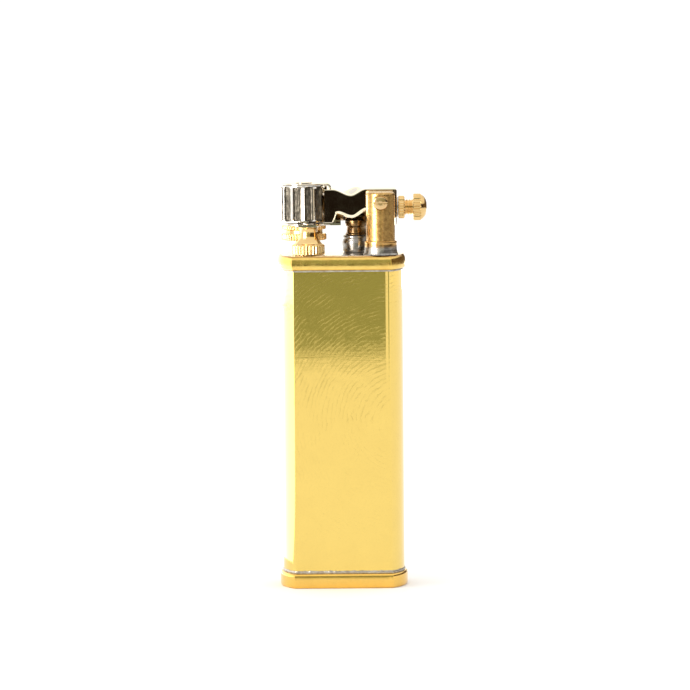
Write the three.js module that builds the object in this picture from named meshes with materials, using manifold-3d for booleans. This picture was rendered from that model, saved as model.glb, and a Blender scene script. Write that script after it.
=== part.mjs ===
// Lift-arm petrol lighter with a horizontal striking wheel.
// Millimetres, +Z up. -Y is the front, +X is the end with the flint screw.
// The origin is the centre of the base face.
import * as THREE from 'three';
import { mergeVertices } from 'three/addons/utils/BufferGeometryUtils.js';
import Module from 'manifold-3d';

const wasm = await Module();
wasm.setup();

// ---------------------------------------------------------------- driving dimensions

const GAP = 0.05; // running or assembly clearance between two turned faces
const ROUND = 24; // segments of a full turn

const CASE = { width: 24.0, depth: 13.9, bulge: 2.5, wall: 0.8 };
const BAND = { lip: 0.3, proud: 0.62, baseEdge: 0.5, topEdge: 1.35 };
const CAP = { baseHeight: 2.85, topHeight: 2.85, floor: 1.2, roof: 1.3 };
const TOP_Z = 65.8; // upper face of the top cap
const TUBE_Z = [CAP.floor + GAP, TOP_Z - CAP.roof - GAP];

const FILLER = { x: -5.5, headR: 3.3, shankR: 2.75, bushR: 4.0, flangeR: 4.9 };
const WICK = { x: -6.8, y: -3.9, r: 0.9, tubeR: 1.3, rise: 2.2 };

const POST = { x: 7.7, y: -4.1, r: 2.85, topZ: 78.1, collarR: 3.2, collarZ: 68.5, studR: 1.25 };
const PIVOT_Z = 76.0;
const PILLAR = { x: 2.95, y: 2.7, r: 2.2, topZ: 72.85, studR: 1.0 };

const ARM = { frontY: -0.6, backY: 6.2, sheet: 0.55, topZ: 78.45, endX: 11.0, leftX: -3.3 };
const PLATE_Z = [71.3, 71.75]; // lower plate that carries the wheel arbor and the snuffer
const EAR_Z = [79.25, 79.5]; // upper ear over the striking wheel
const ROLL_Z = 78.7; // centre of the rolled bend beside the ear

const WHEEL = { x: -7.4, y: 3.1, r: 4.63, z: [71.9, 79.2], ribs: 12, recess: 0.42, rim: 0.3 };
const SPOOL = { r: 4.45, waistR: 3.7, z: [68.3, 69.55, 70.4, 71.2], teeth: 40 };
const ARBOR_R = 0.8;

const SNUFFER = { x: -6.5, y: -3.9, skirtR: 3.2, neckR: 1.72, skirtZ: 67.75, teeth: 28 };

const FLINT_Z = 74.6; // axis of the flint tube, in the wheel's own plane
const FLINT = { r: 1.2, tipX: -2.65, length: 3.8 };
const FLINT_TUBE = { r: 1.65, bore: 1.27, noseX: -2.2, endX: 10.4, collarR: 2.5 };
const SCREW = { r: 1.55, tipX: 6.9, headR: 2.65, headX: [14.25, 15.7], domeX: 16.95 };
const LOCK = { r: 2.25, washerX: [11.05, 11.25], nutX: [11.3, 12.55] };

const COLOURS = {
  brass: [0xd9b04a, 0.28, 1.0],
  darkBrass: [0x9a7433, 0.4, 1.0],
  chrome: [0xb9b7b2, 0.12, 1.0],
  steel: [0x8d8a84, 0.45, 1.0],
  solder: [0x8c8a86, 0.5, 1.0],
  cotton: [0xe9e4d6, 0.95, 0.0],
  felt: [0x6b5a45, 0.95, 0.0],
  rubber: [0x1c1c1c, 0.8, 0.0],
  flint: [0x4a4744, 0.7, 0.6],
};

// ---------------------------------------------------------------- solids and booleans

// A closed geometry as a manifold solid.
function solidOf(geometry) {
  const bare = geometry.index ? geometry.toNonIndexed() : geometry.clone();
  bare.deleteAttribute('normal');
  bare.deleteAttribute('uv');
  const merged = mergeVertices(bare, 1e-4);
  return new wasm.Manifold(new wasm.Mesh({
    numProp: 3,
    vertProperties: merged.attributes.position.array,
    triVerts: new Uint32Array(merged.index.array),
  }));
}

// A manifold solid as an indexed geometry.
function geometryOf(solid) {
  const mesh = solid.getMesh();
  const geometry = new THREE.BufferGeometry();
  geometry.setAttribute('position', new THREE.BufferAttribute(mesh.vertProperties, 3));
  geometry.setIndex(new THREE.BufferAttribute(mesh.triVerts, 1));
  geometry.computeVertexNormals();
  return geometry;
}

// The first geometry with others joined to it and others cut from it.
function combine(first, { join = [], cut = [] }) {
  let solid = solidOf(first);
  for (const geometry of join) solid = solid.add(solidOf(geometry));
  for (const geometry of cut) solid = solid.subtract(solidOf(geometry));
  return geometryOf(solid);
}

// ---------------------------------------------------------------- shape helpers

// A turned piece about Z from [radius, z] pairs: up the outside, down the inside.
function turned(profile, segments = ROUND) {
  const points = profile.map(([r, z]) => new THREE.Vector2(r, z));
  return new THREE.LatheGeometry(points, segments).rotateX(Math.PI / 2);
}

const disc = (r, z0, z1, segments = ROUND) =>
  turned([[0, z0], [r, z0], [r, z1], [0, z1]], segments);

const ring = (inner, outer, z0, z1, segments = ROUND) =>
  turned([[inner, z0], [outer, z0], [outer, z1], [inner, z1], [inner, z0]], segments);

// A flat shape in XY raised from z0 to z1.
function raised(shape, z0, z1, curveSegments = 8) {
  const options = { depth: z1 - z0, bevelEnabled: false, curveSegments };
  return new THREE.ExtrudeGeometry(shape, options).translate(0, 0, z0);
}

// A shape drawn in XZ and given thickness from y0 (front) to y1 (back).
function slab(shape, y0, y1, curveSegments = 7) {
  return raised(shape, 0, y1 - y0, curveSegments).rotateX(Math.PI / 2).translate(0, y1, 0);
}

const box = (x0, x1, y0, y1, z0, z1) =>
  new THREE.BoxGeometry(x1 - x0, y1 - y0, z1 - z0)
    .translate((x0 + x1) / 2, (y0 + y1) / 2, (z0 + z1) / 2);

// Turns a piece made about Z so that its axis lies along X or along Y.
const alongX = (geometry) => geometry.rotateY(Math.PI / 2);
const alongY = (geometry) => geometry.rotateX(-Math.PI / 2);

function circleShape(r, segments = ROUND) {
  const points = [];
  for (let i = 0; i < segments; i++) {
    const a = (2 * Math.PI * i) / segments;
    points.push(new THREE.Vector2(r * Math.cos(a), r * Math.sin(a)));
  }
  return new THREE.Shape(points);
}

// A circle with straight knurling: teeth peaks at r, valleys at r - depth.
function knurledShape(r, depth, teeth) {
  const points = [];
  for (let i = 0; i < teeth * 2; i++) {
    const a = (Math.PI * i) / teeth;
    const q = i % 2 ? r - depth : r;
    points.push(new THREE.Vector2(q * Math.cos(a), q * Math.sin(a)));
  }
  return new THREE.Shape(points);
}

// The case's outline, offset by a margin: flat front and back joined by shallow arcs.
function caseOutline(margin) {
  const caseR = ((CASE.depth / 2) ** 2 + CASE.bulge ** 2) / (2 * CASE.bulge);
  const centreX = CASE.width / 2 - caseR;
  const r = caseR + margin;
  const halfDepth = CASE.depth / 2 + margin;
  const half = Math.asin(halfDepth / r);
  const cornerX = centreX + r * Math.cos(half);
  const shape = new THREE.Shape();
  shape.moveTo(-cornerX, -halfDepth);
  shape.lineTo(cornerX, -halfDepth);
  shape.absarc(centreX, 0, r, -half, half, false);
  shape.lineTo(-cornerX, halfDepth);
  shape.absarc(-centreX, 0, r, Math.PI - half, Math.PI + half, false);
  return shape;
}

// A ring of the case's outline between two margins.
function caseRing(inner, outer, z0, z1) {
  const outline = caseOutline(outer);
  outline.holes.push(new THREE.Path(caseOutline(inner).getPoints(8)));
  return raised(outline, z0, z1);
}

// A band round the case whose edge is rounded over a height of edge at top and bottom.
function beadedBlank(z0, z1, edge, bevelSegments) {
  return new THREE.ExtrudeGeometry(caseOutline(BAND.lip), {
    depth: z1 - z0 - 2 * edge,
    bevelEnabled: true,
    bevelThickness: edge,
    bevelSize: BAND.proud - BAND.lip,
    bevelSegments,
    curveSegments: 8,
  }).translate(0, 0, z0 + edge);
}

function helix(meanR, wireR, x0, x1, turns) {
  const points = [];
  const steps = turns * 10;
  for (let i = 0; i <= steps; i++) {
    const a = (2 * Math.PI * turns * i) / steps;
    const x = x0 + wireR + ((x1 - x0 - 2 * wireR) * i) / steps;
    points.push(new THREE.Vector3(x, meanR * Math.cos(a), meanR * Math.sin(a)));
  }
  const path = new THREE.CatmullRomCurve3(points);
  const section = circleShape(wireR, 5);
  const options = { steps, bevelEnabled: false, extrudePath: path };
  return new THREE.ExtrudeGeometry(section, options);
}

// ---------------------------------------------------------------- assembly

const lighter = new THREE.Group();
lighter.name = 'lift_arm_lighter';

function piece(name, geometry, colour, position = [0, 0, 0], parent = lighter) {
  const [color, roughness, metalness] = COLOURS[colour];
  const material = new THREE.MeshStandardMaterial({ color, roughness, metalness });
  const mesh = new THREE.Mesh(geometry, material);
  mesh.name = name;
  mesh.position.set(...position);
  parent.add(mesh);
  return mesh;
}

// ---------------------------------------------------------------- case and fuel chamber

function baseCap() {
  const { baseHeight, floor } = CAP;
  return combine(beadedBlank(0, baseHeight, BAND.baseEdge, 2), {
    cut: [
      raised(caseOutline(GAP), floor, baseHeight + 1),
      disc(FILLER.bushR + GAP, -1, floor + 1).translate(FILLER.x, 0, 0),
    ],
  });
}

function topCap() {
  const roof = TOP_Z - CAP.roof;
  const bottom = TOP_Z - CAP.topHeight;
  const through = (r, x, y) => disc(r, roof - 1, TOP_Z + 1, 24).translate(x, y, 0);
  return combine(beadedBlank(bottom, TOP_Z, BAND.topEdge, 3), {
    cut: [
      raised(caseOutline(GAP), bottom - 1, roof),
      through(POST.studR + GAP, POST.x, POST.y),
      through(PILLAR.studR + GAP, PILLAR.x, PILLAR.y),
      through(WICK.tubeR + GAP, WICK.x, WICK.y),
    ],
  });
}

// Threaded bush soldered into the base, with a counterbore for the screw's head.
function fillerBush() {
  const seat = 1.1;
  return turned([
    [FILLER.headR + GAP, 0], [FILLER.bushR, 0], [FILLER.bushR, CAP.floor + GAP],
    [FILLER.flangeR, CAP.floor + GAP], [FILLER.flangeR, 2.2], [FILLER.bushR, 2.2],
    [FILLER.bushR, 4.3], [FILLER.shankR + GAP, 4.3], [FILLER.shankR + GAP, seat],
    [FILLER.headR + GAP, seat], [FILLER.headR + GAP, 0],
  ]);
}

function fillerScrew() {
  const headTop = 0.75;
  const body = turned([
    [0, 0.05], [FILLER.headR - 0.15, 0.05], [FILLER.headR, 0.2], [FILLER.headR, headTop],
    [FILLER.shankR, headTop], [FILLER.shankR, 4.4], [FILLER.shankR - 0.3, 4.7], [0, 4.7],
  ]);
  return combine(body, { cut: [box(-4, 4, -0.45, 0.45, -0.5, 0.5)] });
}

function wadding() {
  const bottom = 5.2;
  const top = 60.5;
  return combine(raised(caseOutline(-CASE.wall - 0.1), bottom, top, 8), {
    cut: [disc(WICK.r + 0.15, 30, top + 1, 16).translate(WICK.x, WICK.y, 0)],
  });
}

function wickTube() {
  const [foot, shoulder] = [TOP_Z - 4.3, TOP_Z - 3.5];
  return turned([
    [WICK.r + GAP, foot], [2.1, foot], [2.1, shoulder], [WICK.tubeR, shoulder],
    [WICK.tubeR, TOP_Z + 1.0], [WICK.r + GAP, TOP_Z + 1.0], [WICK.r + GAP, foot],
  ], 20);
}

const underCap = TOP_Z - CAP.topHeight;
piece('case_tube', caseRing(-CASE.wall, 0, ...TUBE_Z), 'brass');
piece('base_cap', baseCap(), 'brass');
piece('top_cap', topCap(), 'brass');
piece('base_solder', caseRing(0.02, 0.2, CAP.baseHeight + 0.02, CAP.baseHeight + 0.62), 'solder');
piece('top_solder', caseRing(0.02, 0.16, underCap - 0.4, underCap - 0.02), 'solder');
piece('filler_bush', fillerBush(), 'brass', [FILLER.x, 0, 0]);
piece('filler_screw', fillerScrew(), 'brass', [FILLER.x, 0, 0]);
piece('filler_gasket', ring(FILLER.shankR + GAP, FILLER.headR, 0.78, 1.07), 'rubber',
  [FILLER.x, 0, 0]);
piece('cotton_wadding', wadding(), 'cotton');
piece('wick', disc(WICK.r, 31, TOP_Z + WICK.rise, 16), 'cotton', [WICK.x, WICK.y, 0]);
piece('wick_tube', wickTube(), 'brass', [WICK.x, WICK.y, 0]);

// ---------------------------------------------------------------- hinge post and rest pillar

const hexNut = (cornerR, bore, z0, z1) =>
  combine(disc(cornerR, z0, z1, 6), { cut: [disc(bore, z0 - 1, z1 + 1, 18)] });

function hingePost() {
  const bottom = TOP_Z - CAP.roof - 1.3;
  const body = turned([
    [0, bottom], [POST.studR, bottom], [POST.studR, TOP_Z + GAP], [POST.r, TOP_Z + GAP],
    [POST.r, POST.topZ - 0.5], [POST.r - 0.15, POST.topZ - 0.15],
    [POST.r - 0.5, POST.topZ], [0, POST.topZ],
  ], 32);
  const bore = alongY(disc(1.0 + GAP, -4, 4, 18)).translate(0, 0, PIVOT_Z);
  const spotface = alongY(disc(1.48, -4, -2.1, 24)).translate(0, 0, PIVOT_Z);
  return combine(body, { cut: [bore, spotface] });
}

// Soldered collar round the foot of the post.
const postCollar = () => turned([
  [POST.r + GAP, TOP_Z], [POST.collarR + 0.3, TOP_Z], [POST.collarR + 0.06, TOP_Z + 0.5],
  [POST.collarR, TOP_Z + 1.0], [POST.collarR, POST.collarZ - 0.15],
  [POST.collarR - 0.15, POST.collarZ], [POST.r + GAP, POST.collarZ], [POST.r + GAP, TOP_Z],
], 32);

// Shouldered screw on which the arm turns; its slotted head lies in the post's front.
function pivotScrew() {
  const [headFront, headBack] = [-2.7, -2.12];
  const body = turned([
    [0, headFront], [1.3, headFront], [1.42, headFront + 0.12], [1.42, headBack],
    [1.0, headBack], [1.0, 4.05], [0.7, 4.05], [0.7, 4.78], [0, 4.78],
  ], 24);
  const slot = box(-2, 2, -0.17, 0.17, headFront - 1, headFront + 0.28);
  return alongY(combine(body, { cut: [slot] }));
}

function restPillar() {
  const bottom = TOP_Z - CAP.roof - 1.2;
  const { r, studR, topZ } = PILLAR;
  return turned([
    [0, bottom], [studR, bottom], [studR, 69.25], [r, 69.25], [r, 69.5], [r - 0.25, 69.7],
    [r - 0.25, 70.8], [r, 71.05], [r, topZ - 0.2], [r - 0.25, topZ], [0, topZ],
  ]);
}

// Barrel-shaped socket under the pillar, with a ring at its mouth.
const pillarSocket = () => turned([
  [PILLAR.studR + GAP, TOP_Z], [2.5, TOP_Z], [2.75, 66.4], [2.85, 67.1], [2.8, 67.8],
  [2.6, 68.3], [2.54, 68.5], [2.65, 68.65], [2.65, 69.05], [2.5, 69.2],
  [PILLAR.studR + GAP, 69.2], [PILLAR.studR + GAP, TOP_Z],
]);

const nutTop = TOP_Z - CAP.roof - GAP;
piece('hinge_post', hingePost(), 'darkBrass', [POST.x, POST.y, 0]);
piece('post_collar', postCollar(), 'solder', [POST.x, POST.y, 0]);
piece('post_nut', hexNut(2.05, POST.studR + GAP, nutTop - 1.2, nutTop), 'brass',
  [POST.x, POST.y, 0]);
piece('pivot_screw', pivotScrew(), 'brass', [POST.x, POST.y, PIVOT_Z]);
piece('rest_pillar', restPillar(), 'darkBrass', [PILLAR.x, PILLAR.y, 0]);
piece('pillar_socket', pillarSocket(), 'chrome', [PILLAR.x, PILLAR.y, 0]);
piece('pillar_nut', hexNut(1.9, PILLAR.studR + GAP, nutTop - 1.1, nutTop), 'brass',
  [PILLAR.x, PILLAR.y, 0]);

// ---------------------------------------------------------------- lift arm

const DIP = { x: [-1.7, 2.0, 4.9], drop: 1.15 };
const BELLY = { x: [-0.9, 2.1, 5.1], z: [73.9, 73.0, 74.5] };
const FOOT = { x: [-2.5, -1.6], z: PLATE_Z[1] };

// Draws an S-shaped stretch to (x, z) that leaves and arrives level.
function ease(shape, x0, z0, x, z) {
  const h = (x - x0) / 2;
  shape.bezierCurveTo(x0 + h, z0, x - h, z, x, z);
}

// The arm seen from the front. down lowers the top edge; over runs past the other edges.
function armOutline(down, over, endX) {
  const topZ = ARM.topZ - down;
  const shape = new THREE.Shape();
  shape.moveTo(ARM.leftX - over, FOOT.z + 0.5 - over);
  shape.lineTo(FOOT.x[0], FOOT.z - over);
  shape.lineTo(FOOT.x[1], FOOT.z - over);
  shape.lineTo(BELLY.x[0], BELLY.z[0] - over);
  ease(shape, BELLY.x[0], BELLY.z[0] - over, BELLY.x[1], BELLY.z[1] - over);
  ease(shape, BELLY.x[1], BELLY.z[1] - over, BELLY.x[2], BELLY.z[2] - over);
  shape.lineTo(6.5, 72.65 - over);
  shape.lineTo(endX, 72.65 - over);
  shape.lineTo(endX, topZ - 0.5);
  shape.absarc(endX - 0.5, topZ - 0.5, 0.5, 0, Math.PI / 2, false);
  shape.lineTo(DIP.x[2], topZ);
  ease(shape, DIP.x[2], topZ, DIP.x[1], topZ - DIP.drop);
  ease(shape, DIP.x[1], topZ - DIP.drop, DIP.x[0], topZ);
  shape.lineTo(ARM.leftX - over, topZ);
  return shape;
}

// Tail of the rear cheek, below and behind the post.
function rearTail() {
  const shape = new THREE.Shape();
  shape.moveTo(3.2, 71.0);
  shape.bezierCurveTo(3.2, 70.2, 3.6, 69.7, 4.4, 69.7);
  shape.lineTo(8.0, 70.15);
  shape.lineTo(10.3, 70.75);
  shape.lineTo(ARM.endX, 70.75);
  shape.lineTo(ARM.endX, 75.0);
  shape.lineTo(3.2, 75.0);
  return slab(shape, ARM.backY - ARM.sheet, ARM.backY);
}

// Hump of the rear cheek that backs the dip.
function rearHump() {
  const shape = new THREE.Shape();
  shape.moveTo(-0.2, 76.0);
  shape.lineTo(4.9, 76.0);
  shape.lineTo(4.9, 77.7);
  shape.bezierCurveTo(3.9, 78.75, 2.0, 78.65, -0.2, 77.0);
  return slab(shape, ARM.backY - ARM.sheet, ARM.backY);
}

// Out-turned lip along the belly of the front cheek.
function bellyLip() {
  const shape = new THREE.Shape();
  const thick = 0.42;
  const [x0, x1, x2] = BELLY.x;
  const [z0, z1, z2] = BELLY.z;
  shape.moveTo(x0, z0 - thick);
  ease(shape, x0, z0 - thick, x1, z1 - thick);
  ease(shape, x1, z1 - thick, x2, z2 - thick);
  shape.lineTo(x2, z2 + 0.05);
  ease(shape, x2, z2 + 0.05, x1, z1 + 0.05);
  ease(shape, x1, z1 + 0.05, x0, z0 + 0.05);
  return slab(shape, ARM.frontY - 0.4, ARM.frontY + 0.3);
}

// Ear over the wheel, with the rolled bend that brings it down to the channel.
function wheelEar() {
  const [y0, y1] = [WHEEL.y - 3.0, WHEEL.y + 3.0];
  const bridge = box(WHEEL.x, -2.0, y0, y1, ...EAR_Z);
  const riser = box(-2.55, -2.0, y0, y1, ARM.topZ - 0.5, EAR_Z[1]);
  const roll = new THREE.Shape();
  roll.moveTo(-3.65, ROLL_Z);
  roll.lineTo(-1.95, ROLL_Z);
  roll.absarc(-2.8, ROLL_Z, 0.85, 0, Math.PI, false);
  const ear = disc(4.45, ...EAR_Z, 32).translate(WHEEL.x, WHEEL.y, 0);
  return [bridge, riser, slab(roll, y0, y1), ear];
}

function liftArm() {
  const { frontY, backY, sheet, endX } = ARM;
  const inside = slab(armOutline(sheet, 1, endX - 0.5), frontY + sheet, backY - sheet);
  const channel = combine(slab(armOutline(0, 0, endX), frontY, backY), { cut: [inside] });
  const wheelRoom = disc(WHEEL.r + 0.2, 60, WHEEL.z[1] + 0.05, 32);
  return combine(channel, {
    join: [rearTail(), rearHump(), bellyLip(), ...wheelEar()],
    cut: [
      wheelRoom.translate(WHEEL.x, WHEEL.y, 0),
      disc(ARBOR_R + GAP, 60, 90, 18).translate(WHEEL.x, WHEEL.y, 0),
      alongX(disc(SCREW.r + GAP, 8, 12, 18)).translate(0, WHEEL.y, FLINT_Z),
      alongY(disc(1.3 + GAP, -2, 2, 18)).translate(POST.x, 0, PIVOT_Z),
    ],
  });
}

// Flat plate under the wheel: arbor bearing at the back, snuffer bracket at the front.
function lowerPlate() {
  const bracket = new THREE.Shape();
  const [x0, x1, front, r] = [-9.1, -4.2, -5.6, 0.7];
  bracket.moveTo(x0, WHEEL.y);
  bracket.lineTo(x0, front + r);
  bracket.absarc(x0 + r, front + r, r, Math.PI, 1.5 * Math.PI, false);
  bracket.lineTo(x1 - r, front);
  bracket.absarc(x1 - r, front + r, r, -0.5 * Math.PI, 0, false);
  bracket.lineTo(x1, WHEEL.y);
  return combine(disc(4.2, ...PLATE_Z).translate(WHEEL.x, WHEEL.y, 0), {
    join: [
      raised(bracket, ...PLATE_Z, 5),
      box(WHEEL.x, -0.1, ARM.frontY, ARM.backY, ...PLATE_Z),
    ],
    cut: [
      disc(ARBOR_R + GAP, 60, 80, 18).translate(WHEEL.x, WHEEL.y, 0),
      disc(0.8, 60, 80, 18).translate(SNUFFER.x, SNUFFER.y, 0),
    ],
  });
}

// Flanged bush riveted into the front cheek; it turns on the pivot screw.
const pivotBush = () => alongY(turned([
  [1.0 + GAP, -1.1], [1.55, -1.1], [1.55, ARM.frontY - GAP], [1.3, ARM.frontY - GAP],
  [1.3, 0.0], [1.0 + GAP, 0.0], [1.0 + GAP, -1.1],
], 18));

piece('lift_arm', liftArm(), 'chrome');
piece('lower_plate', lowerPlate(), 'chrome');
piece('pivot_bush', pivotBush(), 'brass', [POST.x, 0, PIVOT_Z]);
piece('pivot_nut', alongY(hexNut(1.35, 0.7 + GAP, 0.05, 0.65)), 'brass', [POST.x, 0, PIVOT_Z]);

// ---------------------------------------------------------------- snuffer

function snufferBell() {
  const stemTop = PLATE_Z[1] + 0.02;
  const shoulder = PLATE_Z[0] - GAP;
  const base = TOP_Z + 0.08;
  const { skirtR, neckR, skirtZ } = SNUFFER;
  const skin = turned([
    [2.6, base], [skirtR - 0.15, base], [skirtR - 0.15, skirtZ], [2.75, 67.95],
    [2.25, 68.5], [neckR + 0.12, 69.2], [neckR, 69.8], [neckR + 0.1, 70.3],
    [neckR + 0.38, 70.9], [neckR + 0.62, shoulder],
    [0.75, shoulder], [0.75, stemTop], [0, stemTop],
    [0, 69.4], [1.33, 69.4], [1.6, 68.6], [2.2, 67.9], [2.6, 67.4], [2.6, base],
  ]);
  const knurl = raised(knurledShape(skirtR, 0.14, SNUFFER.teeth), base + 0.1, skirtZ - 0.05);
  return combine(skin, {
    join: [combine(knurl, { cut: [disc(2.75, 60, 70, 26)] })],
  });
}

piece('snuffer_bell', snufferBell(), 'brass', [SNUFFER.x, SNUFFER.y, 0]);
piece('snuffer_felt', disc(1.3, 68.65, 69.35, 16), 'felt', [SNUFFER.x, SNUFFER.y, 0]);
piece('snuffer_rivet', disc(1.15, PLATE_Z[1] + GAP, PLATE_Z[1] + 0.2, 16), 'chrome',
  [SNUFFER.x, SNUFFER.y, 0]);

// ---------------------------------------------------------------- striking wheel

// Outline of the wheel between its rims: narrow ribs standing over file-cut recesses.
function ribbedShape() {
  const points = [];
  const ribHalf = 0.11; // radians
  const low = WHEEL.r - WHEEL.recess;
  const polar = (r, a) => points.push(new THREE.Vector2(r * Math.cos(a), r * Math.sin(a)));
  for (let k = 0; k < WHEEL.ribs; k++) {
    const a = (2 * Math.PI * k) / WHEEL.ribs;
    const next = (2 * Math.PI * (k + 1)) / WHEEL.ribs;
    polar(WHEEL.r, a - ribHalf);
    polar(WHEEL.r, a + ribHalf);
    for (const t of [0.24, 0.5, 0.76]) polar(low, a + (next - a) * t);
  }
  return new THREE.Shape(points);
}

function strikingWheel() {
  const [z0, z1] = WHEEL.z;
  const rimOf = (a, b) => disc(WHEEL.r, a, b, 36);
  return combine(raised(ribbedShape(), z0 + 0.1, z1 - 0.1), {
    join: [rimOf(z0, z0 + WHEEL.rim), rimOf(z1 - WHEEL.rim, z1)],
    cut: [disc(ARBOR_R + GAP, 60, 80, 18)],
  });
}

// Brass spool under the plate: two knurled flanges with a waist between them.
function thumbSpool() {
  const [z0, z1, z2, z3] = SPOOL.z;
  const flange = (r, a, b) => raised(knurledShape(r, 0.12, SPOOL.teeth), a, b);
  return combine(disc(SPOOL.waistR, z0 + 0.1, z3 - 0.1), {
    join: [flange(SPOOL.r, z0, z1), flange(SPOOL.r - 0.1, z2, z3)],
    cut: [disc(ARBOR_R + GAP, 60, 80, 18)],
  });
}

// Arbor with a slotted head over the ear; a nut under the spool closes the stack.
function wheelArbor() {
  const headTop = EAR_Z[1] + 0.2;
  const body = turned([
    [0, 67.6], [ARBOR_R, 67.6], [ARBOR_R, EAR_Z[1] + GAP], [1.7, EAR_Z[1] + GAP],
    [1.7, headTop - 0.1], [1.5, headTop], [0, headTop],
  ], 18);
  return combine(body, { cut: [box(-3, 3, -0.2, 0.2, headTop - 0.1, headTop + 1)] });
}

const wheelAxis = new THREE.Group();
wheelAxis.position.set(WHEEL.x, WHEEL.y, 0);
lighter.add(wheelAxis);
const AT_AXIS = [0, 0, 0];
piece('striking_wheel', strikingWheel(), 'steel', AT_AXIS, wheelAxis);
piece('thumb_spool', thumbSpool(), 'brass', AT_AXIS, wheelAxis);
piece('wheel_arbor', wheelArbor(), 'chrome', AT_AXIS, wheelAxis);
piece('arbor_nut', hexNut(1.7, ARBOR_R + GAP, 67.6, SPOOL.z[0] - GAP), 'brass', AT_AXIS, wheelAxis);

// ---------------------------------------------------------------- flint feed

// Tube inside the arm, with a collar at the nose and a threaded boss at the flange.
function flintTube() {
  const { r, bore, noseX, endX, collarR } = FLINT_TUBE;
  const seat = SCREW.tipX - 0.2;
  return alongX(turned([
    [bore, noseX], [r, noseX], [r, -1.2], [collarR, -1.2], [collarR, 0.4], [r, 0.4], [r, 8.9],
    [2.3, 8.9], [2.3, endX], [SCREW.r + GAP, endX], [SCREW.r + GAP, seat],
    [bore, seat], [bore, noseX],
  ]));
}

function flintScrew() {
  const { r, tipX, headR, headX, domeX } = SCREW;
  const shank = turned([
    [0, tipX], [r - 0.2, tipX], [r, tipX + 0.2], [r, headX[0] + 0.1],
    [headR - 0.16, headX[0] + 0.1], [headR - 0.16, headX[1]], [2.3, headX[1] + 0.45],
    [1.5, domeX - 0.2], [0, domeX],
  ]);
  const knurl = raised(knurledShape(headR, 0.17, 20), ...headX);
  return alongX(combine(shank, { join: [knurl] }));
}

function lockNut() {
  const knurl = raised(knurledShape(LOCK.r, 0.12, 20), ...LOCK.nutX);
  return alongX(combine(knurl, { cut: [disc(SCREW.r + GAP, 5, 20)] }));
}

// Cup that stays on the screw's tip and carries the spring without turning.
const flintPusher = () => alongX(turned([
  [0, 5.2], [0.6, 5.2], [0.6, 6.2], [1.2, 6.2], [1.2, SCREW.tipX - GAP], [0, SCREW.tipX - GAP],
], 18));

const flintAxis = new THREE.Group();
flintAxis.position.set(0, WHEEL.y, FLINT_Z);
lighter.add(flintAxis);
const flintEnd = FLINT.tipX + FLINT.length;
piece('flint_tube', flintTube(), 'brass', AT_AXIS, flintAxis);
piece('flint', alongX(disc(FLINT.r, FLINT.tipX, flintEnd, 18)), 'flint', AT_AXIS, flintAxis);
piece('flint_spring', helix(0.9, 0.14, flintEnd + GAP, 6.12, 6), 'steel', AT_AXIS, flintAxis);
piece('flint_pusher', flintPusher(), 'brass', AT_AXIS, flintAxis);
piece('flint_screw', flintScrew(), 'brass', AT_AXIS, flintAxis);
piece('lock_washer', alongX(ring(SCREW.r + GAP, 2.0, ...LOCK.washerX)), 'steel', AT_AXIS, flintAxis);
piece('lock_nut', lockNut(), 'brass', AT_AXIS, flintAxis);

export default lighter;
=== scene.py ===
"""Looks of a lift-arm petrol lighter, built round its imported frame.

Shapes are made in millimetres in the frame's own axes and stored in metres.
"""

import math

import bmesh
import bpy
from mathutils import Matrix, Vector, noise


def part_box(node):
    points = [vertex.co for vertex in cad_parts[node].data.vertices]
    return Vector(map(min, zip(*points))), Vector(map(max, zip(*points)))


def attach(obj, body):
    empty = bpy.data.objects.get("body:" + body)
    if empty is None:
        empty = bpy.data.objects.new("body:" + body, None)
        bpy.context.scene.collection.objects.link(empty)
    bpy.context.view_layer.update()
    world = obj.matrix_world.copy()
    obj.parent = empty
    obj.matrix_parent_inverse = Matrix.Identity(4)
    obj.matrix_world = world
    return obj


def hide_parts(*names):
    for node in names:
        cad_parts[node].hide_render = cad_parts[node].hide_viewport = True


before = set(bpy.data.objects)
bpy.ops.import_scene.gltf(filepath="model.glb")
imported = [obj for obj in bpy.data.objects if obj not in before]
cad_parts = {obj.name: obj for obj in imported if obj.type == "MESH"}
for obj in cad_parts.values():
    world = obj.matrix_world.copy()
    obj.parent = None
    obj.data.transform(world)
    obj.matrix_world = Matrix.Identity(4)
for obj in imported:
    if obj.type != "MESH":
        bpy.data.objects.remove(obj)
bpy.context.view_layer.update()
MM = 0.001
TAU = 2 * math.pi


def node_box(name):
    """A CAD node's lowest and highest corners, in millimetres."""
    low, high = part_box(name)
    return Vector(low) / MM, Vector(high) / MM


def centre(name):
    low, high = node_box(name)
    return (low + high) / 2


# ---- dimensions read from the frame

TUBE_LOW, TUBE_HIGH = node_box("case_tube")
TOP_LOW, TOP_HIGH = node_box("top_cap")
BASE_HIGH = node_box("base_cap")[1]
TOP_Z = TOP_HIGH.z
CASE_HALF_WIDTH = TUBE_HIGH.x
CASE_HALF_DEPTH = TUBE_HIGH.y
CASE_BULGE = 2.5
BAND_PROUD = TOP_HIGH.x - TUBE_HIGH.x
WHEEL_LOW, WHEEL_HIGH = node_box("striking_wheel")
WHEEL = centre("striking_wheel")
WHEEL_R = (WHEEL_HIGH.x - WHEEL_LOW.x) / 2
POST = centre("hinge_post")
POST_LOW, POST_HIGH = node_box("hinge_post")
POST_R = (POST_HIGH.x - POST_LOW.x) / 2
PILLAR = centre("rest_pillar")
PIVOT = centre("pivot_screw")
BELL = centre("snuffer_bell")
WICK = centre("wick")
FLINT_AXIS = centre("flint_tube")
PLATE_LOW, PLATE_HIGH = node_box("lower_plate")
FILLER = centre("filler_screw")
ARM_HIGH = node_box("lift_arm")[1]
SHEET = 0.55
FRONT_Y, BACK_Y = -0.6, ARM_HIGH.y
ARM_TOP = 78.45
END_X = 11.0
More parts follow.
